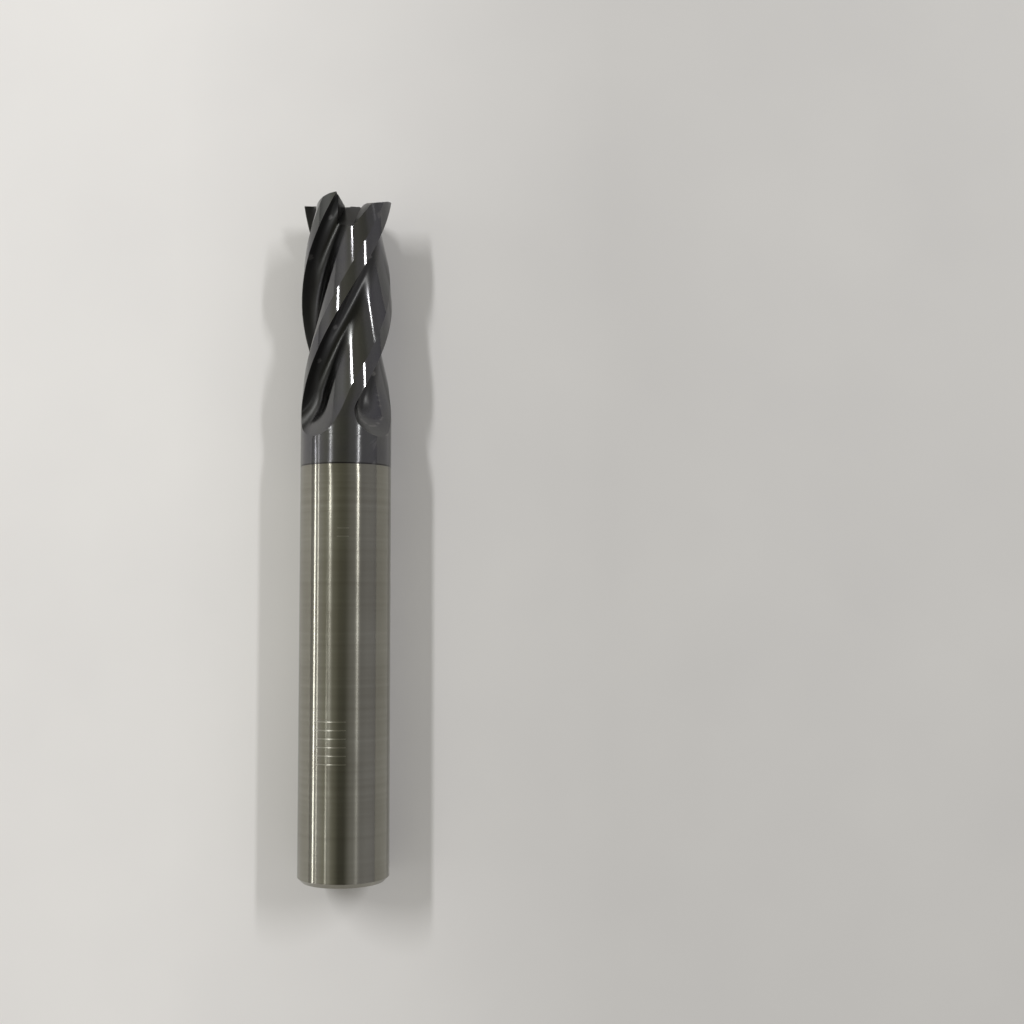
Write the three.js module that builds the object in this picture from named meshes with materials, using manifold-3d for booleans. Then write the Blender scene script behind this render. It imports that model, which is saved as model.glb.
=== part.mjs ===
// A four-flute square end mill: a ground rod of sintered tungsten carbide with a hard-coated cutting end.
// Millimetres. The tool is built along its own +Z, from the shank end at 0 to the tip. The group then
// lays it on its side: tip towards +Y, middle over the origin, the coated head touching the surface.
// It cuts right-handed, and its flutes are a right-hand helix.

import * as THREE from "three";
import { mergeVertices } from "three/addons/utils/BufferGeometryUtils.js";
import Module from "manifold-3d";

const wasm = await Module();
wasm.setup();

const { degToRad } = THREE.MathUtils;

// Driving dimensions of the whole tool
const toolDiameter = 10;
const toolLength = 75;
const shankChamfer = 0.5;
const coatedLength = 29.8; // tip to the sharp lower line of the coating
const coatingThickness = 0.004;
const coatingGap = 0.002; // the smallest gap that keeps the rounded coordinates of coating and rod apart

// Driving dimensions of the flutes
const fluteCount = 4;
const helixAngle = degToRad(30.2);
const cornerDirection = degToRad(262); // where the first tooth's corner points, about the tool axis
const fullFluteLength = 22; // tip to where the wheel starts to lift off, along a flute's bottom
const liftOffLength = 25.2; // tip to where a flute's bottom leaves the rod
const coreRadius = 3.05;
const rakeAngle = degToRad(8);
const landAngle = degToRad(17.5); // from a cutting edge back to its heel, about the tool axis
const landRelief = degToRad(8);
const backRelief = degToRad(26); // the fall of a tooth's back behind its heel
const reliefFadeStart = 21; // tip to where the lands start to blend into the plain rod
const reliefFadeEnd = 24.8;

// Driving dimensions of the end teeth
const dishAngle = degToRad(2);
const endPrimaryWidth = 0.85;
const endPrimaryRelief = degToRad(7);
const endSecondaryRelief = degToRad(18);
const gashRake = degToRad(6); // lean of the end teeth's faces, away from the tool axis's direction
const gashRadialRake = degToRad(3); // lean of the end edges behind the radius through their corners
const gashRootWidth = 1.9;
const gashFarAngle = degToRad(45);
const gashRootSlope = degToRad(42);
const endFaceSetback = 0.03; // the end faces' distance behind the tooth corners
const longToothGashStart = -0.35; // radius where a gash that clears the centre leaves the end face
const shortToothGashStart = 1.0; // the same for a gash that stops short of the centre

// Fineness of the facets
const fluteSegments = 10;
const landSegments = 6;
const axialStep = 1.3;
const plainStep = 0.4; // on the plain rod between the flutes and the coating line
const exitStep = 0.2; // where the flutes run out, over the exit length
const exitLength = 1.2;
const runoutStep = 0.6;
const runoutLength = 5;
const curveSamples = 120;

const radius = toolDiameter / 2;
const pitch = (2 * Math.PI) / fluteCount;
const coatingLine = toolLength - coatedLength;
const clearOfTip = 1; // how far the uncut rod stands past the tip before the end is ground
const edge = new THREE.Vector2(radius, 0);
const heelRadius = radius * Math.exp(-Math.tan(landRelief) * landAngle);

const polar = (r, angle) => new THREE.Vector2(r * Math.cos(angle), r * Math.sin(angle));
const angleOf = (point) => Math.atan2(point.y, point.x);
const mix = THREE.MathUtils.lerp;

// Radius of a land at an angle behind its cutting edge: it falls away by a constant relief. Presence 1
// is the ground land and 0 the plain rod.
function landRadius(behind, presence) {
  return mix(radius, radius * Math.exp(-Math.tan(landRelief) * behind), presence);
}

// The next tooth's back, which falls away from the heel of its land, in the section of a flute whose
// own cutting edge is at angle 0. It runs on beyond the heel.
function toothBack(behind) {
  return polar(heelRadius * Math.exp(-Math.tan(backRelief) * (behind - landAngle)), pitch - behind);
}

// Centre of a fillet that touches the rake face and the core, and its foot on the rake face.
function filletBetween(filletRadius) {
  const inward = new THREE.Vector2(-Math.cos(rakeAngle), -Math.sin(rakeAngle));
  const intoFlute = new THREE.Vector2(-Math.sin(rakeAngle), Math.cos(rakeAngle));
  const start = edge.clone().addScaledVector(intoFlute, filletRadius);
  const along = start.dot(inward);
  const reach = coreRadius + filletRadius;
  const down = -along - Math.sqrt(along ** 2 - start.lengthSq() + reach ** 2);
  return {
    centre: start.addScaledVector(inward, down),
    rakeFoot: edge.clone().addScaledVector(inward, down),
  };
}

// One flute, with its tooth's cutting edge at angle 0: down the rake face, round a fillet that touches
// the core, and up the back of the next tooth. Both ends run on past the rod.
function fluteCurve() {
  const overrun = degToRad(25);
  const back = Array.from({ length: 3 * curveSamples }, (_, i) =>
    toothBack(mix(pitch, landAngle - overrun, i / (3 * curveSamples - 1))),
  );
  let small = 0.2;
  let large = 3;
  for (let halving = 0; halving < 40; halving++) {
    const middle = (small + large) / 2;
    const { centre } = filletBetween(middle);
    const gap = Math.min(...back.map((p) => p.distanceTo(centre)));
    if (gap > middle) small = middle;
    else large = middle;
  }
  const { centre, rakeFoot } = filletBetween(small);
  const gaps = back.map((p) => p.distanceTo(centre));
  const joint = gaps.indexOf(Math.min(...gaps));
  const rakeTop = edge.clone().lerp(rakeFoot, -0.3);
  const curve = [
    ...lineSamples(rakeTop, rakeFoot),
    ...arcSamples(centre, rakeFoot, back[joint]),
    ...back.slice(joint + 1),
  ];
  return { curve, liftDirection: centre.clone().normalize() };
}

function lineSamples(from, to) {
  return Array.from({ length: curveSamples }, (_, i) => from.clone().lerp(to, i / curveSamples));
}

// The short way round a centre from one point to another.
function arcSamples(centre, from, to) {
  const spoke = from.clone().sub(centre);
  const first = angleOf(spoke);
  const last = angleOf(to.clone().sub(centre));
  const turn = Math.atan2(Math.sin(last - first), Math.cos(last - first));
  return Array.from({ length: curveSamples }, (_, i) =>
    polar(spoke.length(), first + (turn * i) / curveSamples).add(centre),
  );
}

const { curve: nominalFlute, liftDirection } = fluteCurve();

// How far a point of the flute has risen out of the rod at a height. The grinding wheel lifts off along
// an arc as it follows the helix, so points further round the rod rise later.
function fluteLift(z, point) {
  const furtherRound = angleOf(point) - angleOf(liftDirection);
  const alongFlute = toolLength - z - radius * furtherRound * Math.tan(helixAngle);
  const wholeRun = liftOffLength - fullFluteLength;
  const wholeLift = radius - coreRadius;
  const liftRadius = (wholeRun ** 2 + wholeLift ** 2) / (2 * wholeLift);
  const run = THREE.MathUtils.clamp(alongFlute - fullFluteLength, 0, 0.98 * liftRadius);
  return liftRadius - Math.sqrt(liftRadius ** 2 - run ** 2);
}

// How far an angle lies behind the cutting edge whose land is there: the flute's own tooth's edge at
// angle 0, or the next tooth's at the pitch.
function behindEdge(angle) {
  return angle < pitch / 4 ? Math.max(0, -angle) : pitch - angle;
}

function liftedFlute(z, presence) {
  const lifted = nominalFlute.map((p) => p.clone().addScaledVector(liftDirection, fluteLift(z, p)));
  const depths = lifted.map((p) => landRadius(behindEdge(angleOf(p)), presence) - p.length());
  return { lifted, depths };
}

// The lowest height at which the flutes still cut into the rod.
function whereFlutesEnd() {
  const shallowest = 0.004;
  let cutting = toolLength - liftOffLength;
  let clear = cutting - 5;
  for (let halving = 0; halving < 30; halving++) {
    const middle = (cutting + clear) / 2;
    if (Math.max(...liftedFlute(middle, 0).depths) > shallowest) cutting = middle;
    else clear = middle;
  }
  return cutting;
}

const fluteEnd = whereFlutesEnd();

// The part of the lifted flute that lies inside the rod, as evenly spaced points.
function fluteInsideRod(z, presence) {
  const { lifted, depths } = liftedFlute(z, presence);
  const first = depths.findIndex((depth) => depth > 0);
  const last = depths.findLastIndex((depth) => depth > 0);
  const crossing = (outside, inside) =>
    lifted[outside].clone().lerp(lifted[inside], depths[outside] / (depths[outside] - depths[inside]));
  const inside = [crossing(first - 1, first), ...lifted.slice(first, last + 1), crossing(last + 1, last)];
  return spacedAlong(inside, fluteSegments);
}

function spacedAlong(points, segments) {
  const travelled = [0];
  points.slice(1).forEach((p, i) => travelled.push(travelled[i] + p.distanceTo(points[i])));
  const whole = travelled.at(-1);
  return Array.from({ length: segments + 1 }, (_, i) => {
    if (i === segments) return points.at(-1).clone();
    const wanted = (whole * i) / segments;
    const next = travelled.findIndex((t) => t > wanted);
    const share = (wanted - travelled[next - 1]) / (travelled[next] - travelled[next - 1]);
    return points[next - 1].clone().lerp(points[next], share);
  });
}

// One tooth's share of the cross-section: its flute, then the next tooth's land.
function toothOutline(z) {
  const presence = THREE.MathUtils.smoothstep(z, toolLength - reliefFadeEnd, toolLength - reliefFadeStart);
  const flute = fluteInsideRod(z, presence);
  const edgeAngle = angleOf(flute[0]);
  const heelAngle = angleOf(flute.at(-1));
  const land = Array.from({ length: landSegments - 1 }, (_, i) => {
    const angle = mix(heelAngle, pitch + edgeAngle, (i + 1) / landSegments);
    return polar(landRadius(Math.max(0, pitch - angle), presence), angle);
  });
  return [...flute, ...land];
}

// The plain rod's outline. Near the flutes its points stand where theirs end, and further down they
// spread out evenly, share 0 to 1.
function plainOutline(share) {
  const lastFluted = toothOutline(fluteEnd);
  return lastFluted.map((p, i) => {
    const angle = angleOf(p);
    const unwrapped = angle < -pitch / 2 ? angle + 2 * Math.PI : angle;
    return polar(radius, mix(unwrapped, (i * pitch) / lastFluted.length, share));
  });
}

// The whole cross-section at a height, turned along the helix, its surface moved out by growth.
function ringAt(z, growth) {
  const share = THREE.MathUtils.clamp((fluteEnd - z) / (fluteEnd - coatingLine), 0, 1);
  const tooth = z >= fluteEnd ? toothOutline(z) : plainOutline(share);
  const lead = (Math.PI * toolDiameter) / Math.tan(helixAngle);
  const turn = cornerDirection - (2 * Math.PI * (toolLength - Math.max(z, fluteEnd))) / lead;
  const origin = new THREE.Vector2();
  const ring = [];
  for (let k = 0; k < fluteCount; k++)
    for (const p of tooth) ring.push(p.clone().rotateAround(origin, turn + k * pitch));
  return grown(ring, growth);
}

// An outline with every side moved out by the same distance.
function grown(ring, distance) {
  const count = ring.length;
  const outwards = ring.map((p, i) => {
    const side = ring[(i + 1) % count].clone().sub(p).normalize();
    return new THREE.Vector2(side.y, -side.x);
  });
  return ring.map((p, i) => {
    const before = outwards[(i + count - 1) % count];
    const mitre = before.clone().add(outwards[i]);
    return p.clone().addScaledVector(mitre, (2 * distance) / mitre.lengthSq());
  });
}

function solidFrom(geometry) {
  const bare = new THREE.BufferGeometry()
    .setAttribute("position", geometry.getAttribute("position"))
    .setIndex(geometry.getIndex());
  const merged = mergeVertices(bare, 1e-5);
  const mesh = new wasm.Mesh({
    numProp: 3,
    vertProperties: merged.attributes.position.array,
    triVerts: new Uint32Array(merged.index.array),
  });
  return new wasm.Manifold(mesh);
}

// A closed skin over rings of equally many points, each ring a list of [x, y, z].
function loft(rings) {
  const count = rings[0].length;
  const positions = rings.flat(2);
  const faces = [];
  for (let r = 0; r + 1 < rings.length; r++) {
    for (let i = 0; i < count; i++) {
      const here = r * count + i;
      const next = r * count + ((i + 1) % count);
      faces.push(here, next, next + count, here, next + count, here + count);
    }
  }
  const capOf = (ring) =>
    THREE.ShapeUtils.triangulateShape(ring.map(([x, y]) => new THREE.Vector2(x, y)), []);
  const top = (rings.length - 1) * count;
  for (const [a, b, c] of capOf(rings[0])) faces.push(a, c, b);
  for (const [a, b, c] of capOf(rings.at(-1))) faces.push(top + a, top + b, top + c);
  const geometry = new THREE.BufferGeometry()
    .setAttribute("position", new THREE.Float32BufferAttribute(positions, 3))
    .setIndex(faces);
  return solidFrom(geometry);
}

// The rod between two heights with its flutes, before the end teeth are ground.
function flutedRod(from, growth) {
  const exitTop = fluteEnd + exitLength;
  const runoutTop = fluteEnd + runoutLength;
  const heights = evenHeights(coatingLine, fluteEnd - 0.02, plainStep);
  heights.push(...evenHeights(fluteEnd, exitTop, exitStep));
  heights.push(...evenHeights(exitTop, runoutTop, runoutStep).slice(1));
  heights.push(...evenHeights(runoutTop, toolLength + clearOfTip, axialStep).slice(1));
  const rings = heights.map((z) => ringAt(z, growth).map((p) => [p.x, p.y, z]));
  if (from < coatingLine) {
    const foot = ringAt(0, growth);
    const inner = (radius - shankChamfer) / radius;
    rings.unshift(foot.map((p) => [p.x, p.y, shankChamfer]));
    rings.unshift(foot.map((p) => [p.x * inner, p.y * inner, 0]));
  }
  return loft(rings);
}

function evenHeights(from, to, step) {
  const count = Math.ceil((to - from) / step);
  return Array.from({ length: count + 1 }, (_, i) => mix(from, to, i / count));
}

// A solid between two sections of [along, ahead, height], turned to one tooth: along the tooth's end
// edge from the axis, and ahead in the direction in which it cuts. The caps fan out from each first
// corner, and the corners go round so that, seen from outside the rod, they turn anticlockwise.
function toothCutter(tooth, sections) {
  const angle = cornerDirection + tooth * pitch;
  const along = polar(1, angle);
  const ahead = polar(1, angle + Math.PI / 2);
  const rings = sections.map((section) =>
    section.map(([r, t, z]) => [r * along.x + t * ahead.x, r * along.y + t * ahead.y, z]),
  );
  const corners = rings.flat(2);
  const count = sections[0].length;
  const faces = [];
  for (let i = 0; i < count; i++) {
    const next = (i + 1) % count;
    faces.push(i, next, next + count, i, next + count, i + count);
  }
  for (let i = 1; i + 1 < count; i++) faces.push(0, i + 1, i, count, count + i, count + i + 1);
  const geometry = new THREE.BufferGeometry()
    .setAttribute("position", new THREE.Float32BufferAttribute(corners, 3))
    .setIndex(faces);
  return solidFrom(geometry);
}

// What the end grinding removes over one tooth: a dished primary relief behind the end edge, and a
// steeper secondary relief behind that.
function endRelief(tooth, growth) {
  const outer = radius + 2;
  const top = toolLength + 3;
  const section = (r) => {
    const edgeHeight = toolLength + growth - (radius - r) * Math.tan(dishAngle);
    const stepHeight = edgeHeight - endPrimaryWidth * Math.tan(endPrimaryRelief);
    const backHeight = stepHeight - (outer - endPrimaryWidth) * Math.tan(endSecondaryRelief);
    return [
      [r, -endPrimaryWidth, stepHeight],
      [r, 0, edgeHeight],
      [r, 0, top],
      [r, -outer, top],
      [r, -outer, backHeight],
    ];
  };
  return toothCutter(tooth, [section(-endFaceSetback / 2), section(outer)]);
}

// The notch ground in front of an end edge, so that chips can leave it. Its root climbs towards the
// centre. Every second tooth is long: its gash passes the centre, and its edge reaches the centre.
function gash(tooth, growth) {
  const start = tooth % 2 === 0 ? longToothGashStart : shortToothGashStart;
  const top = toolLength + 3;
  const section = (r) => {
    const depth = (r - start) * Math.tan(gashRootSlope) - growth;
    const root = toolLength - depth;
    const setback = endFaceSetback + (radius - r) * Math.tan(gashRadialRake);
    const near = growth - setback - depth * Math.tan(gashRake);
    const nearTop = near + (top - root) * Math.tan(gashRake);
    const far = near + gashRootWidth - 2 * growth;
    return [
      [r, near, root],
      [r, far, root],
      [r, far + (top - root) * Math.tan(gashFarAngle), top],
      [r, nearTop, top],
    ];
  };
  return toothCutter(tooth, [section(start - 2), section(radius + 1)]);
}

function groundTool(from, growth) {
  let solid = flutedRod(from, growth);
  for (let tooth = 0; tooth < fluteCount; tooth++) {
    solid = solid.subtract(endRelief(tooth, growth)).subtract(gash(tooth, growth));
  }
  return solid;
}

function meshOf(name, solid, material) {
  const { vertProperties, triVerts } = solid.getMesh();
  const geometry = new THREE.BufferGeometry()
    .setAttribute("position", new THREE.BufferAttribute(vertProperties, 3))
    .setIndex(new THREE.BufferAttribute(triVerts, 1));
  geometry.computeVertexNormals();
  const mesh = new THREE.Mesh(geometry, material);
  mesh.name = name;
  return mesh;
}

const carbide = new THREE.MeshStandardMaterial({ color: 0x8a8884, roughness: 0.3, metalness: 1 });
const coating = new THREE.MeshStandardMaterial({ color: 0x4a4850, roughness: 0.22, metalness: 1 });

const bodySolid = groundTool(0, 0);
const coatingSolid = groundTool(coatingLine, coatingGap + coatingThickness).subtract(
  groundTool(coatingLine - 1, coatingGap),
);

const tool = new THREE.Group();
tool.add(meshOf("carbide_body", bodySolid, carbide));
tool.add(meshOf("tialn_coating", coatingSolid, coating));
tool.rotation.x = -Math.PI / 2;
tool.position.set(0, -toolLength / 2, radius + coatingGap + coatingThickness);

const endMill = new THREE.Group();
endMill.add(tool);

export default endMill;
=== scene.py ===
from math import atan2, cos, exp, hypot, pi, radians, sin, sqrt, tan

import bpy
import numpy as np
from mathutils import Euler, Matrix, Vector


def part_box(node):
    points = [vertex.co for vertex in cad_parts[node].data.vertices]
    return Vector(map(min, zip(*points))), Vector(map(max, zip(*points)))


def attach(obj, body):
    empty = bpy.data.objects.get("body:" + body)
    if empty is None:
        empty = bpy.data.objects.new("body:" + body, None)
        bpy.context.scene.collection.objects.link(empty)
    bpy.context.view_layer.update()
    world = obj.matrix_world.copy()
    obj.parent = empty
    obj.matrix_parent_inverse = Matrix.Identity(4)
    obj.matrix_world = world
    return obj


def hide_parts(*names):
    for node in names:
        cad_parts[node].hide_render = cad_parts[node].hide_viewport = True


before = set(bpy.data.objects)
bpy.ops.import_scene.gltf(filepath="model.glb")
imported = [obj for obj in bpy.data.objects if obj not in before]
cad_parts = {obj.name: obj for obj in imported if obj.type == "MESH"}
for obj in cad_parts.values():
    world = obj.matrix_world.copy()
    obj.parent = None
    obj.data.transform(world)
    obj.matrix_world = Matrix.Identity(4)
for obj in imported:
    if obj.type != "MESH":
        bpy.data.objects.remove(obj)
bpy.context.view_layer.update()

# A four-flute square end mill, lying on a pale table: a ground carbide rod whose cutting end has a
# dark hard coating. Both pieces are rebuilt finely here, from the same dimensions as the CAD model's.
# Shapes are in millimetres, in the tool's own frame: +Z from the shank end at 0 to the tip. Each piece
# is then laid down as the CAD model is, in metres: the tip points along the row's +Y.

MM = 0.001

# The rod's size and place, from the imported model
ROD_LOW, ROD_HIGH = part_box("carbide_body")
COATING_LOW, COATING_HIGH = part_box("tialn_coating")
TOOL_LENGTH = (ROD_HIGH.y - ROD_LOW.y) / MM
RADIUS = (ROD_HIGH.x - ROD_LOW.x) / MM / 2
COATING_LINE = round((COATING_LOW.y - ROD_LOW.y) / MM, 3)
AXIS_HEIGHT = (COATING_LOW.z + COATING_HIGH.z) / 2
SHANK_CHAMFER = 0.5
COATING_GAP = 0.002  # between the carbide and its coating, as in the CAD model
COATING_THICKNESS = 0.004

# The flutes
FLUTE_COUNT = 4
HELIX_ANGLE = radians(30.2)
CORNER_DIRECTION = radians(262)
FULL_FLUTE_LENGTH = 22.0  # tip to where the wheel starts to lift off, along a flute's bottom
LIFT_OFF_LENGTH = 25.2  # tip to where a flute's bottom leaves the rod
CORE_RADIUS = 3.05
RAKE_ANGLE = radians(8)
LAND_ANGLE = radians(17.5)
LAND_RELIEF = radians(8)
BACK_RELIEF = radians(26)
RELIEF_FADE_START = 21
RELIEF_FADE_END = 24.8

# The end teeth
DISH_ANGLE = radians(2)
END_PRIMARY_WIDTH = 0.85
END_PRIMARY_RELIEF = radians(7)
END_SECONDARY_RELIEF = radians(18)
GASH_RAKE = radians(6)
GASH_RADIAL_RAKE = radians(3)
GASH_ROOT_WIDTH = 1.9
GASH_FAR_ANGLE = radians(45)
GASH_ROOT_SLOPE = radians(42)
END_FACE_SETBACK = 0.03
LONG_TOOTH_GASH_START = -0.35
SHORT_TOOTH_GASH_START = 1.0

# The laser mark on the shank: groups of strokes, each (from, to) along from the shank end and across
MARK_SPACING = 0.9
MARK_GROUPS = [((12.6, 18.3), (-2.6, 0.7)), ((36.7, 38.3), (-0.4, 0.9))]

# The room's brightness and how blue it is, by azimuth from straight up towards +X, in degrees
ROOM = [
    (-90, 0.40, 0.95),
    (-75, 0.62, 0.95),
    (-62, 0.68, 0.95),
    (-48, 0.52, 0.84),
    (-32, 0.34, 0.84),
    (-18, 0.38, 0.80),
    (-4, 0.31, 0.78),
    (8, 0.29, 0.82),
    (18, 0.38, 0.92),
    (48, 0.38, 1.0),
    (64, 0.44, 1.0),
    (80, 0.42, 1.02),
    (90, 0.36, 1.02),
]

# The lamps: azimuth from straight up towards +X and forward towards the tip, in degrees, then width and
# length in metres and power in watts
LAMP_DISTANCE = 0.8
LAMPS = {
    "lamp_left": (-34, 31, 0.035, 0.32, 2.3),
    "lamp_right": (38, 29, 0.03, 0.3, 1.7),
    "lamp_low_left": (-76, -14, 0.03, 0.4, 0.38),
    "lamp_far_left": (-66, -2, 0.03, 0.3, 0.12),
    "lamp_back_left": (-40, -17, 0.04, 0.15, 0.05),
}

# The table, in metres: half its width, and where the shade painted on it starts and ends growing darker
# towards +X
TABLE_HALF_WIDTH = 1.5
TABLE_PAINTED_FALLOFF = (-0.02, 0.03)

# The camera: its place in metres, its turn in degrees, its lens and sensor in millimetres
CAMERA_PLACE = (0.0162, -0.0068, 0.1558)
CAMERA_TURN = (3.63, -0.86, -0.07)
CAMERA_LENS = 47.74
CAMERA_SENSOR = 36

# Fineness of the meshes
FLUTE_STEPS = 38
LAND_STEPS = 14
HEIGHT_STEP = 0.19
RUNOUT_STEP = 0.08
RUNOUT_FINE_LENGTH = 5.0
SHANK_STEP = 1.5
CURVE_SAMPLES = 200
LEAST_CUT = 0.004  # a flute shallower than this counts as run out
SHARPEST_SMOOTH = radians(12)  # faces that meet at more than this keep a sharp edge

PITCH = 2 * pi / FLUTE_COUNT
LEAD = 2 * pi * RADIUS / tan(HELIX_ANGLE)
ABOVE_TIP = 1.0


def polar(radius, angle):
    return np.stack([radius * np.cos(angle), radius * np.sin(angle)], axis=-1)


def angle_of(points):
    return np.arctan2(points[..., 1], points[..., 0])


def turned(points, angle):
    c, s = np.cos(angle), np.sin(angle)
    return points @ np.array([[c, s], [-s, c]])


def smoothstep(value, low, high):
    t = min(max((value - low) / (high - low), 0), 1)
    return t * t * (3 - 2 * t)


# ---------------------------------------------------------------- the tool's cross-section


EDGE = np.array([RADIUS, 0.0])
HEEL_RADIUS = RADIUS * exp(-tan(LAND_RELIEF) * LAND_ANGLE)


def land_radius(behind, presence):
    """Radius of a land at an angle behind its cutting edge: it falls away by a constant relief.
    Presence 1 is the ground land and 0 the plain rod."""
    ground = RADIUS * np.exp(-tan(LAND_RELIEF) * behind)
    return RADIUS + presence * (ground - RADIUS)


def tooth_back(behind):
    """The next tooth's back, which falls away from the heel of its land, in the section of a flute
    whose own cutting edge is at angle 0. It runs on beyond the heel."""
    return polar(HEEL_RADIUS * np.exp(-tan(BACK_RELIEF) * (behind - LAND_ANGLE)), PITCH - behind)


def fillet_between(radius):
    """Centre of a fillet that touches the rake face and the core, and its foot on the rake face."""
    inward = -np.array([cos(RAKE_ANGLE), sin(RAKE_ANGLE)])
    into_flute = np.array([-sin(RAKE_ANGLE), cos(RAKE_ANGLE)])
    start = EDGE + radius * into_flute
    along = start @ inward
    down = -along - sqrt(along**2 - start @ start + (CORE_RADIUS + radius) ** 2)
    return start + down * inward, EDGE + down * inward


def flute_curve():
    """One flute, with its tooth's cutting edge at angle 0: down the rake face, round a fillet that
    touches the core, and up the back of the next tooth. Both ends run on past the rod."""
    overrun = radians(25)
    back = tooth_back(np.linspace(PITCH, LAND_ANGLE - overrun, CURVE_SAMPLES * 2))
    small, large = 0.2, 3.0
    for _ in range(40):
        radius = (small + large) / 2
        centre, rake_foot = fillet_between(radius)
        gaps = np.hypot(*(back - centre).T)
        small, large = (radius, large) if gaps.min() > radius else (small, radius)
    joint = int(np.argmin(gaps))
    rake_top = EDGE + 0.3 * (EDGE - rake_foot)
    shares = np.arange(CURVE_SAMPLES)[:, None] / CURVE_SAMPLES
    rake_line = rake_top + shares * (rake_foot - rake_top)
    fillet = arc(centre, rake_foot, back[joint])
    return np.concatenate([rake_line, fillet, back[joint + 1 :]]), centre / hypot(*centre)


def arc(centre, start, end):
    """The short way round a centre from one point to another."""
    spoke = start - centre
    first = atan2(spoke[1], spoke[0])
    turn = atan2(end[1] - centre[1], end[0] - centre[0]) - first
    turn = atan2(sin(turn), cos(turn))
    steps = np.arange(CURVE_SAMPLES) / CURVE_SAMPLES
    return centre + polar(hypot(*spoke), first + turn * steps)


FLUTE, LIFT_DIRECTION = flute_curve()


def flute_lift(height):
    """How far each point of the flute has risen out of the rod at a height. The grinding wheel lifts
    off along an arc as it follows the helix, so points further round the rod rise later."""
    further_round = angle_of(FLUTE) - atan2(LIFT_DIRECTION[1], LIFT_DIRECTION[0])
    along_flute = TOOL_LENGTH - height - RADIUS * further_round * tan(HELIX_ANGLE)
    whole_run = LIFT_OFF_LENGTH - FULL_FLUTE_LENGTH
    whole_lift = RADIUS - CORE_RADIUS
    lift_radius = (whole_run**2 + whole_lift**2) / (2 * whole_lift)
    run = np.clip(along_flute - FULL_FLUTE_LENGTH, 0, 0.98 * lift_radius)
    return lift_radius - np.sqrt(lift_radius**2 - run**2)


def spaced_along(points, steps):
    sides = np.hypot(*np.diff(points, axis=0).T)
    travelled = np.concatenate([[0], np.cumsum(sides)])
    wanted = np.linspace(0, travelled[-1], steps + 1)
    return np.stack([np.interp(wanted, travelled, points[:, k]) for k in range(2)], axis=-1)


def behind_edge(angle):
    """How far an angle lies behind the cutting edge whose land is there: the flute's own tooth's edge
    at angle 0, or the next tooth's at PITCH."""
    return np.where(angle < PITCH / 4, np.maximum(0, -angle), PITCH - angle)


def lifted_flute(height, presence):
    """The flute's points at a height, and each one's depth inside the rod."""
    lifted = FLUTE + flute_lift(height)[:, None] * LIFT_DIRECTION
    return lifted, land_radius(behind_edge(angle_of(lifted)), presence) - np.hypot(*lifted.T)


def where_flutes_end():
    """The lowest height at which the flutes still cut into the rod."""
    cutting, clear = TOOL_LENGTH - LIFT_OFF_LENGTH, TOOL_LENGTH - LIFT_OFF_LENGTH - 5
    for _ in range(30):
        middle = (cutting + clear) / 2
        depths = lifted_flute(middle, 0)[1]
        cutting, clear = (middle, clear) if depths.max() > LEAST_CUT else (cutting, middle)
    return cutting


FLUTE_END = where_flutes_end()


def flute_inside_rod(height, presence):
    """The part of the lifted flute that lies inside the rod, as evenly spaced points."""
    lifted, depths = lifted_flute(height, presence)
    inside = np.flatnonzero(depths > 0)
    first, last = inside[0], inside[-1]

    def crossing(outer, inner):
        share = depths[outer] / (depths[outer] - depths[inner])
        return lifted[outer] + share * (lifted[inner] - lifted[outer])

    ends = crossing(first - 1, first), crossing(last + 1, last)
    return spaced_along(np.vstack([ends[0], lifted[first : last + 1], ends[1]]), FLUTE_STEPS)


def tooth_outline(height):
    """One tooth's share of the section: its flute, then the next tooth's land."""
    presence = smoothstep(height, TOOL_LENGTH - RELIEF_FADE_END, TOOL_LENGTH - RELIEF_FADE_START)
    flute = flute_inside_rod(height, presence)
    edge_angle, heel_angle = angle_of(flute[0]), angle_of(flute[-1])
    land = np.linspace(heel_angle, PITCH + edge_angle, LAND_STEPS + 1)[1:-1]
    behind = np.maximum(0, PITCH - land)
    return np.vstack([flute, polar(land_radius(behind, presence), land)])


def plain_outline(share):
    """The plain rod. Near the flutes its points stand where theirs end, and further down they spread
    out evenly, share 0 to 1."""
    angles = angle_of(tooth_outline(FLUTE_END))
    angles = np.where(angles < -PITCH / 2, angles + 2 * pi, angles)
    even = np.arange(len(angles)) * PITCH / len(angles)
    return polar(RADIUS, angles + share * (even - angles))


def ring_at(height, growth):
    """The whole section at a height, turned along the helix, its surface moved out by growth."""
    if height >= FLUTE_END:
        tooth = tooth_outline(height)
    else:
        tooth = plain_outline(min((FLUTE_END - height) / (FLUTE_END - COATING_LINE), 1))
    turn = CORNER_DIRECTION - 2 * pi * (TOOL_LENGTH - max(height, FLUTE_END)) / LEAD
    ring = np.vstack([turned(tooth, turn + k * PITCH) for k in range(FLUTE_COUNT)])
    return grown(ring, growth)


def grown(ring, distance):
    """An outline with every side moved out by the same distance."""
    sides = np.roll(ring, -1, axis=0) - ring
    sides /= np.hypot(*sides.T)[:, None]
    outwards = np.stack([sides[:, 1], -sides[:, 0]], axis=-1)
    mitre = outwards + np.roll(outwards, 1, axis=0)
    return ring + 2 * distance * mitre / (mitre**2).sum(axis=1, keepdims=True)


# ---------------------------------------------------------------- solids


def mesh_object(name, points, faces):
    mesh = bpy.data.meshes.new(name)
    mesh.from_pydata(points, [], faces)
    mesh.validate()
    piece = bpy.data.objects.new(name, mesh)
    bpy.context.scene.collection.objects.link(piece)
    return piece


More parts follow.
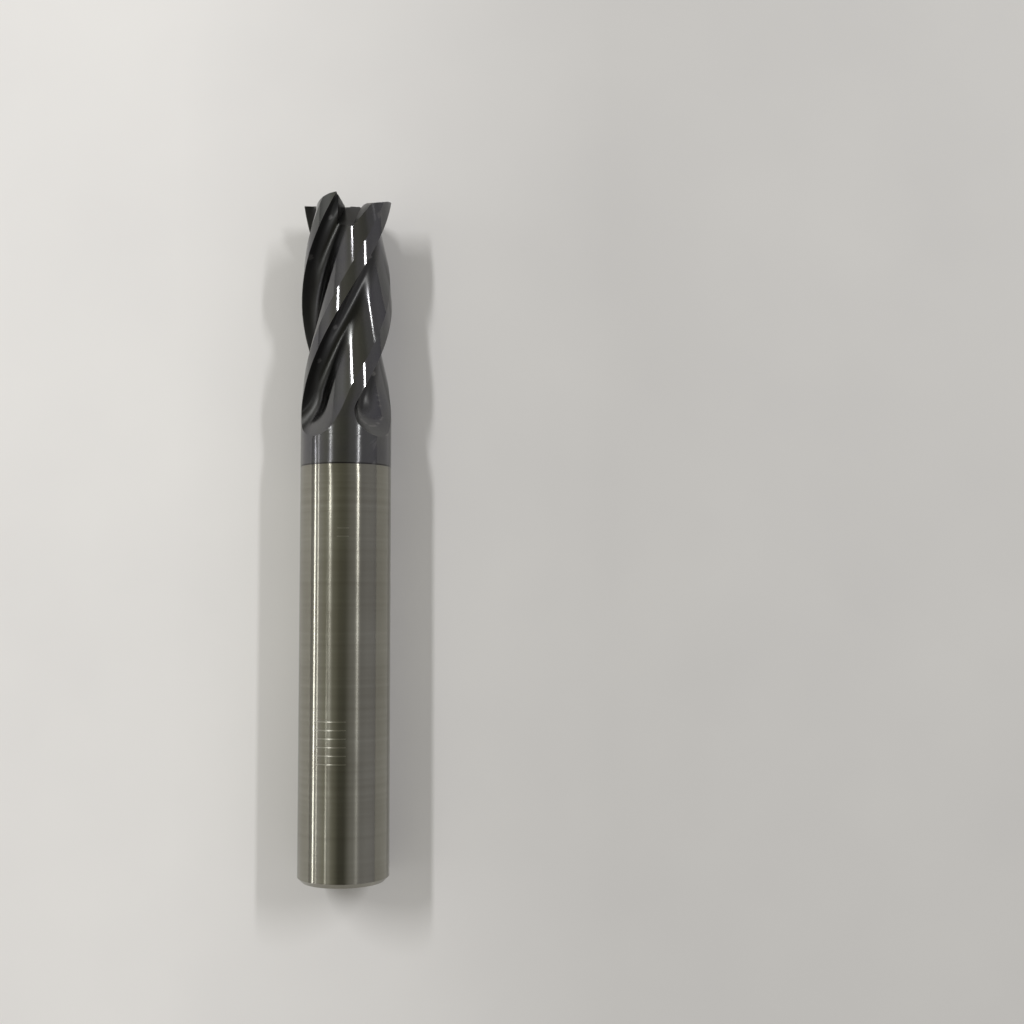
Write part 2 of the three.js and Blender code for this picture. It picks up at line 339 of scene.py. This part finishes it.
def loft(name, rings, heights):
    """A closed solid through rings of equally many points, one at each height."""
    count = len(rings[0])
    points = [(x, y, z) for ring, z in zip(rings, heights) for x, y in ring]
    faces = []
    for level in range(len(rings) - 1):
        for i in range(count):
            here, following = level * count + i, level * count + (i + 1) % count
            faces.append((here, following, following + count, here + count))
    top = (len(rings) - 1) * count
    faces.append(tuple(reversed(range(count))))
    faces.append(tuple(range(top, top + count)))
    return mesh_object(name, points, faces)


def even_heights(low, high, step):
    return list(np.linspace(low, high, int(np.ceil((high - low) / step)) + 1))


def fluted_rod(name, low, growth):
    """The rod with its flutes, before the end teeth are ground. It reaches down to low, or where low is
    below the coating line, all the way to the chamfered shank end."""
    fine_top = FLUTE_END + RUNOUT_FINE_LENGTH
    heights = even_heights(COATING_LINE, FLUTE_END - 0.02, HEIGHT_STEP * 2)
    heights += even_heights(FLUTE_END, fine_top, RUNOUT_STEP)
    heights += even_heights(fine_top, TOOL_LENGTH + ABOVE_TIP, HEIGHT_STEP)[1:]
    rings = [ring_at(height, growth) for height in heights]
    if low < COATING_LINE:
        shank = even_heights(SHANK_CHAMFER, COATING_LINE, SHANK_STEP)[:-1]
        foot = ring_at(0, growth)
        rings = [foot * (RADIUS - SHANK_CHAMFER) / RADIUS] + [foot] * len(shank) + rings
        heights = [0] + shank + heights
    return loft(name, rings, heights)


def tooth_cutter(tooth, sections):
    """A solid between two sections of (along, ahead, height), turned to one tooth: along its end edge
    from the axis, and ahead in the direction in which it cuts."""
    angle = CORNER_DIRECTION + tooth * PITCH
    along, ahead = polar(1, np.float64(angle)), polar(1, np.float64(angle + pi / 2))
    points = []
    for section in sections:
        for r, t, z in section:
            points.append((*(r * along + t * ahead), z))
    count = len(sections[0])
    faces = [tuple(range(count - 1, -1, -1)), tuple(range(count, 2 * count))]
    for i in range(count):
        following = (i + 1) % count
        faces.append((i, following, following + count, i + count))
    return mesh_object("cutter", points, faces)


def end_relief(tooth, growth):
    """What the end grinding removes over one tooth: a dished primary relief behind the end edge, and a
    steeper secondary relief behind that."""
    outer, top = RADIUS + 2, TOOL_LENGTH + 3

    def section(r):
        edge = TOOL_LENGTH + growth - (RADIUS - r) * tan(DISH_ANGLE)
        step = edge - END_PRIMARY_WIDTH * tan(END_PRIMARY_RELIEF)
        back = step - (outer - END_PRIMARY_WIDTH) * tan(END_SECONDARY_RELIEF)
        return [
            (r, -END_PRIMARY_WIDTH, step),
            (r, 0, edge),
            (r, 0, top),
            (r, -outer, top),
            (r, -outer, back),
        ]

    return tooth_cutter(tooth, [section(-END_FACE_SETBACK / 2), section(outer)])


def gash(tooth, growth):
    """The notch ground in front of an end edge. Its root climbs towards the centre, and every second
    tooth's gash passes the centre."""
    start = LONG_TOOTH_GASH_START if tooth % 2 == 0 else SHORT_TOOTH_GASH_START
    top = TOOL_LENGTH + 3

    def section(r):
        depth = (r - start) * tan(GASH_ROOT_SLOPE) - growth
        root = TOOL_LENGTH - depth
        setback = END_FACE_SETBACK + (RADIUS - r) * tan(GASH_RADIAL_RAKE)
        near = growth - setback - depth * tan(GASH_RAKE)
        far = near + GASH_ROOT_WIDTH - 2 * growth
        return [
            (r, near, root),
            (r, far, root),
            (r, far + (top - root) * tan(GASH_FAR_ANGLE), top),
            (r, near + (top - root) * tan(GASH_RAKE), top),
        ]

    return tooth_cutter(tooth, [section(start - 2), section(RADIUS + 1)])


def subtract(piece, cutters):
    """Cuts the cutters out of the piece, and removes them."""
    for cutter in cutters:
        cut = piece.modifiers.new("cut", "BOOLEAN")
        cut.operation = "DIFFERENCE"
        cut.solver = "MANIFOLD"
        cut.object = cutter
    evaluated = piece.evaluated_get(bpy.context.evaluated_depsgraph_get())
    finished = bpy.data.meshes.new_from_object(evaluated)
    piece.modifiers.clear()
    piece.data = finished
    for cutter in cutters:
        bpy.data.objects.remove(cutter)
    return piece


def ground_tool(name, low, growth):
    rod = fluted_rod(name, low, growth)
    for tooth in range(FLUTE_COUNT):
        subtract(rod, [end_relief(tooth, growth)])
        subtract(rod, [gash(tooth, growth)])
    return rod


def lay_down(piece):
    """Puts a piece made in the tool's frame in its place in the row's frame, in metres."""
    on_its_side = Matrix.Rotation(-pi / 2, 4, "X")
    place = Matrix.Translation((0, ROD_LOW.y, AXIS_HEIGHT))
    piece.data.transform(place @ Matrix.Scale(MM, 4) @ on_its_side)
    piece.data.shade_smooth()
    piece.data.set_sharp_from_angle(angle=SHARPEST_SMOOTH)
    return piece


# ---------------------------------------------------------------- nodes


def add_node(tree, kind, inputs=(), **settings):
    """Adds a node. inputs gives its sockets values, or other nodes' outputs to link."""
    made = tree.nodes.new(kind)
    for name, value in settings.items():
        setattr(made, name, value)
    for socket, value in dict(inputs).items():
        if isinstance(value, bpy.types.NodeSocket):
            tree.links.new(value, made.inputs[socket])
        else:
            made.inputs[socket].default_value = value
    return made


def calculate(tree, operation, *values):
    made = add_node(tree, "ShaderNodeMath", dict(enumerate(values)), operation=operation)
    return made.outputs[0]


def ramp(tree, factor, stops):
    """A colour ramp through stops of (position, colour)."""
    made = add_node(tree, "ShaderNodeValToRGB", {"Fac": factor})
    elements = made.color_ramp.elements
    while len(elements) > 1:
        elements.remove(elements[-1])
    elements[0].position = stops[0][0]
    elements[0].color = (*stops[0][1], 1)
    for position, colour in stops[1:]:
        elements.new(position).color = (*colour, 1)
    return made.outputs["Color"]


def new_material(name):
    material = bpy.data.materials.new(name)
    material.use_nodes = True
    tree = material.node_tree
    return material, tree, tree.nodes["Principled BSDF"]


# ---------------------------------------------------------------- materials


def round_the_tool(tree):
    """The shaded point's position about the tool: along it, across it, its radius and its angle."""
    place = add_node(tree, "ShaderNodeTexCoord").outputs["Object"]
    split = add_node(tree, "ShaderNodeSeparateXYZ", {"Vector": place}).outputs
    upwards = calculate(tree, "SUBTRACT", split["Z"], AXIS_HEIGHT)
    squares = calculate(tree, "MULTIPLY", upwards, upwards)
    radius = calculate(tree, "SQRT", calculate(tree, "MULTIPLY_ADD", split["X"], split["X"], squares))
    angle = calculate(tree, "ARCTAN2", split["X"], upwards)
    return {"place": place, "along": split["Y"], "across": split["X"], "radius": radius, "angle": angle}


def lines(tree, coordinate, spacing, detail=3):
    """Fine parallel lines of uneven strength, 0 to 1, where the coordinate in metres grows across them."""
    wanted = calculate(tree, "DIVIDE", coordinate, spacing)
    texture = add_node(tree, "ShaderNodeTexNoise", {"W": wanted, "Scale": 1, "Detail": detail},
                       noise_dimensions="1D")
    return texture.outputs["Fac"]


def cloud(tree, place, size, detail=3):
    """Soft irregular patches, 0 to 1, of about the given size in metres."""
    texture = add_node(tree, "ShaderNodeTexNoise", {"Vector": place, "Scale": 1 / size, "Detail": detail})
    return texture.outputs["Fac"]


def change(tree, value, zero, one):
    """A share that goes evenly from 0 to 1 while the value goes from zero to one."""
    return add_node(tree, "ShaderNodeMapRange", {"Value": value, 1: zero, 2: one}).outputs[0]


def between(tree, value, low, high, softness):
    """1 where the value is between low and high, and 0 beyond."""
    rise = change(tree, value, low - softness, low + softness)
    fall = change(tree, value, high + softness, high - softness)
    return calculate(tree, "MULTIPLY", rise, fall)


def blend(tree, share, first, second):
    """The first colour at share 0, and the second at share 1."""
    return add_node(tree, "ShaderNodeMixRGB", {"Fac": share, 1: first, 2: second}).outputs[0]


def edge_wear_and_highlight(tree):
    """1 along convex edges: wear, and a painted highlight where sharp edges would catch the light."""
    pointiness = add_node(tree, "ShaderNodeNewGeometry").outputs["Pointiness"]
    return change(tree, pointiness, 0.53, 0.62)


def ground_all_round(tree, shader, strength):
    """Makes highlights run along the tool, as they do on metal ground round its axis."""
    shader.inputs["Anisotropic"].default_value = strength
    shader.inputs["Anisotropic Rotation"].default_value = 0.25
    tangent = add_node(tree, "ShaderNodeTangent", direction_type="RADIAL", axis="Y")
    tree.links.new(tangent.outputs[0], shader.inputs["Tangent"])


def steepness(tree, position):
    """1 on faces that turn away from straight outwards, such as the rake faces and flute bottoms."""
    normal = add_node(tree, "ShaderNodeNewGeometry").outputs["Normal"]
    split = add_node(tree, "ShaderNodeSeparateXYZ", {"Vector": normal}).outputs
    outwards = calculate(tree, "MULTIPLY", split["X"], calculate(tree, "SINE", position["angle"]))
    upwards = calculate(tree, "COSINE", position["angle"])
    outwards = calculate(tree, "MULTIPLY_ADD", split["Z"], upwards, outwards)
    return change(tree, outwards, 0.84, 0.62)


def bumped(tree, shader, height, distance):
    bump = add_node(tree, "ShaderNodeBump", {"Height": height, "Distance": distance, "Strength": 1})
    tree.links.new(bump.outputs[0], shader.inputs["Normal"])


def mark_strokes(tree, position):
    """A faint laser mark without any meaning: short even strokes across the shank, in two groups."""
    from_end = calculate(tree, "SUBTRACT", position["along"], ROD_LOW.y)
    turn = calculate(tree, "FRACT", calculate(tree, "DIVIDE", from_end, MARK_SPACING * MM))
    stroke = between(tree, turn, 0.44, 0.56, 0.03)
    groups = None
    for (low, high), (left, right) in MARK_GROUPS:
        inside = between(tree, from_end, low * MM, high * MM, 0.01 * MM)
        reach = between(tree, position["across"], left * MM, right * MM, 0.05 * MM)
        group = calculate(tree, "MULTIPLY", inside, reach)
        groups = group if groups is None else calculate(tree, "MAXIMUM", groups, group)
    on_top = between(tree, position["angle"], -pi / 2, pi / 2, 0.05)
    return calculate(tree, "MULTIPLY", calculate(tree, "MULTIPLY", stroke, groups), on_top)


def carbide_material():
    """Bare sintered carbide, ground round its axis: olive grey, with fine marks and slow patches."""
    material, tree, shader = new_material("ground_carbide")
    position = round_the_tool(tree)
    profile = calculate(tree, "ADD", position["along"], position["radius"])
    fine = lines(tree, profile, 0.05 * MM)
    coarse = lines(tree, profile, 0.6 * MM)
    patches = cloud(tree, position["place"], 9 * MM)
    streaked = calculate(tree, "MULTIPLY", coarse, 0.35)
    patched = calculate(tree, "MULTIPLY", patches, 0.65)
    tone = calculate(tree, "ADD", streaked, patched)
    olives = [(0.3, (0.215, 0.205, 0.17)), (0.5, (0.26, 0.253, 0.215)), (0.7, (0.30, 0.295, 0.255))]
    colour = ramp(tree, tone, olives)
    mark = calculate(tree, "MULTIPLY", mark_strokes(tree, position), 0.38)
    colour = blend(tree, mark, colour, (0.60, 0.59, 0.53, 1))
    # Lighter convex edges: partly wear, partly a painted edge highlight
    worn_and_highlighted = calculate(tree, "MULTIPLY", edge_wear_and_highlight(tree), 0.6)
    tree.links.new(blend(tree, worn_and_highlighted, colour, (0.42, 0.41, 0.37, 1)), shader.inputs["Base Color"])
    smudges = cloud(tree, position["place"], 3 * MM)
    rough = calculate(tree, "MULTIPLY_ADD", smudges, 0.08, 0.115)
    rough = calculate(tree, "MULTIPLY_ADD", fine, 0.05, rough)
    rough = calculate(tree, "MULTIPLY_ADD", mark, 0.4, rough)
    tree.links.new(rough, shader.inputs["Roughness"])
    shader.inputs["Metallic"].default_value = 1
    ground_all_round(tree, shader, 0.94)
    bumped(tree, shader, fine, 0.0004 * MM)
    return material


def coating_material():
    """Titanium aluminium nitride over grinding marks: dark, glossy, slightly violet or olive in places."""
    material, tree, shader = new_material("hard_coating")
    position = round_the_tool(tree)
    round_rod = calculate(tree, "MULTIPLY", position["angle"], RADIUS * MM * cos(HELIX_ANGLE))
    across_flute = calculate(tree, "MULTIPLY_ADD", position["along"], -sin(HELIX_ANGLE), round_rod)
    across_flute = calculate(tree, "ADD", across_flute, position["radius"])
    helical = lines(tree, across_flute, 0.07 * MM)
    circular = lines(tree, position["along"], 0.05 * MM)
    plain_end = ROD_LOW.y + FLUTE_END * MM
    plain = change(tree, position["along"], plain_end + MM, plain_end)
    grinding = blend(tree, plain, helical, circular)
    patches = cloud(tree, position["place"], 5 * MM)
    speckle = cloud(tree, position["place"], 0.06 * MM, detail=1)
    tints = [(0.3, (0.105, 0.104, 0.118)), (0.5, (0.125, 0.124, 0.126)), (0.7, (0.13, 0.135, 0.128))]
    colour = ramp(tree, patches, tints)
    speckles = ramp(tree, speckle, [(0.3, (0.07, 0.07, 0.075)), (0.7, (0.19, 0.19, 0.19))])
    colour = blend(tree, 0.35, colour, speckles)
    masking = ROD_LOW.y + COATING_LINE * MM
    at_line = between(tree, position["along"], masking - MM, masking + 0.16 * MM, 0.04 * MM)
    colour = blend(tree, calculate(tree, "MULTIPLY", at_line, 0.75), colour, (0.015, 0.013, 0.012, 1))
    steep = steepness(tree, position)
    deep = change(tree, position["radius"], 3.7 * MM, 3.3 * MM)
    coarse = calculate(tree, "MAXIMUM", steep, deep)
    # Painted shade: the rake faces, flute bottoms and deep parts that coarse marks are darkened as
    # recesses in shade; below, coarse also makes them rougher
    colour = blend(tree, calculate(tree, "MULTIPLY", coarse, 0.7), colour, (0.03, 0.03, 0.028, 1))
    # Lighter convex edges: partly wear, partly a painted edge highlight
    worn_and_highlighted = calculate(tree, "MULTIPLY", edge_wear_and_highlight(tree), 0.5)
    tree.links.new(blend(tree, worn_and_highlighted, colour, (0.24, 0.235, 0.23, 1)), shader.inputs["Base Color"])
    rough = calculate(tree, "MULTIPLY_ADD", grinding, 0.05, 0.045)
    rough = calculate(tree, "MULTIPLY_ADD", cloud(tree, position["place"], 2 * MM), 0.05, rough)
    rough = calculate(tree, "MULTIPLY_ADD", coarse, 0.3, rough)
    runout = change(tree, position["along"], plain_end + 4.5 * MM, plain_end + 2.5 * MM)
    rough = calculate(tree, "MULTIPLY_ADD", runout, 0.09, rough)
    tree.links.new(rough, shader.inputs["Roughness"])
    shader.inputs["Metallic"].default_value = 1
    ground_all_round(tree, shader, 0.85)
    wobble = calculate(tree, "MULTIPLY_ADD", cloud(tree, position["place"], 0.5 * MM), 10.0, grinding)
    bumped(tree, shader, wobble, 0.0003 * MM)
    return material


def table_material():
    """A smooth pale laminate, very faintly mottled."""
    material, tree, shader = new_material("pale_table")
    place = add_node(tree, "ShaderNodeTexCoord").outputs["Object"]
    patches = cloud(tree, place, 25 * MM)
    tone = ramp(tree, patches, [(0.3, (0.83, 0.815, 0.81)), (0.7, (0.87, 0.855, 0.845))])
    across = add_node(tree, "ShaderNodeSeparateXYZ", {"Vector": place}).outputs["X"]
    # Painted shade: the table's colour darkens towards +X as if light fell off across it
    rightwards = change(tree, across, *TABLE_PAINTED_FALLOFF)
    painted_falloff_colour = blend(tree, calculate(tree, "MULTIPLY", rightwards, 0.26), tone, (0, 0, 0, 1))
    tree.links.new(painted_falloff_colour, shader.inputs["Base Color"])
    fine = cloud(tree, place, 0.4 * MM)
    tree.links.new(calculate(tree, "MULTIPLY_ADD", fine, 0.1, 0.5), shader.inputs["Roughness"])
    bumped(tree, shader, fine, 0.002 * MM)
    return material


# ---------------------------------------------------------------- the pieces


def make_carbide_body():
    body = lay_down(ground_tool("carbide_body_ground", 0, 0))
    body.data.materials.clear()
    body.data.materials.append(carbide_material())
    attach(body, "root")
    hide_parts("carbide_body")


def make_coating():
    film = ground_tool("tialn_film", COATING_LINE, COATING_GAP + COATING_THICKNESS)
    core = ground_tool("core", COATING_LINE - 1, COATING_GAP)
    lay_down(subtract(film, [core]))
    film.data.materials.clear()
    film.data.materials.append(coating_material())
    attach(film, "root")
    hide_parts("tialn_coating")


# ---------------------------------------------------------------- surroundings


def make_table():
    half = TABLE_HALF_WIDTH
    corners = [(-half, -half, 0), (half, -half, 0), (half, half, 0), (-half, half, 0)]
    table = mesh_object("table", corners, [(0, 1, 2, 3)])
    table.data.materials.append(table_material())


def make_light(name, azimuth, forward, width, length, power):
    """A soft rectangular lamp that shines on the origin, its length along the tool's."""
    direction = Vector((tan(radians(azimuth)), tan(radians(forward)), 1)).normalized()
    widthways = Vector((0, 1, 0)).cross(direction).normalized()
    lengthways = direction.cross(widthways)
    lamp = bpy.data.lights.new(name, "AREA")
    lamp.shape = "RECTANGLE"
    lamp.size = width
    lamp.size_y = length
    lamp.energy = power
    holder = bpy.data.objects.new(name, lamp)
    holder.location = direction * LAMP_DISTANCE
    holder.rotation_euler = Matrix((widthways, lengthways, direction)).transposed().to_euler()
    holder.visible_camera = False
    bpy.context.scene.collection.objects.link(holder)


def make_lights():
    for name, values in LAMPS.items():
        make_light(name, *values)


def make_world():
    """The room, by direction about the tool's axis: brighter to the left, and a dark patch overhead."""
    world = bpy.data.worlds.new("room")
    bpy.context.scene.world = world
    world.use_nodes = True
    tree = world.node_tree
    direction = add_node(tree, "ShaderNodeTexCoord").outputs["Generated"]
    split = add_node(tree, "ShaderNodeSeparateXYZ", {"Vector": direction}).outputs
    azimuth = calculate(tree, "ARCTAN2", split["X"], split["Z"])
    share = calculate(tree, "MULTIPLY_ADD", azimuth, 1 / pi, 0.5)
    stops = [(0.5 + degrees / 180, (level, 0.98 * level, blue * level)) for degrees, level, blue in ROOM]
    room = ramp(tree, share, stops)
    overhead = between(tree, azimuth, radians(-17), radians(14), radians(9))
    behind = change(tree, split["Y"], 0.12, -0.18)
    shade = calculate(tree, "MULTIPLY", calculate(tree, "MULTIPLY", overhead, behind), 0.75)
    background = tree.nodes["Background"]
    tree.links.new(blend(tree, shade, room, (0, 0, 0, 1)), background.inputs["Color"])
    background.inputs["Strength"].default_value = 1


def make_camera():
    camera = bpy.data.cameras.new("camera")
    camera.sensor_width = CAMERA_SENSOR
    camera.lens = CAMERA_LENS
    camera.clip_start = 0.005
    holder = bpy.data.objects.new("camera", camera)
    holder.location = CAMERA_PLACE
    holder.rotation_euler = Euler([radians(turn) for turn in CAMERA_TURN])
    bpy.context.scene.collection.objects.link(holder)
    bpy.context.scene.camera = holder


make_camera()
make_carbide_body()
make_coating()
make_table()
make_lights()
make_world()
bpy.context.scene.view_settings.view_transform = "Standard"
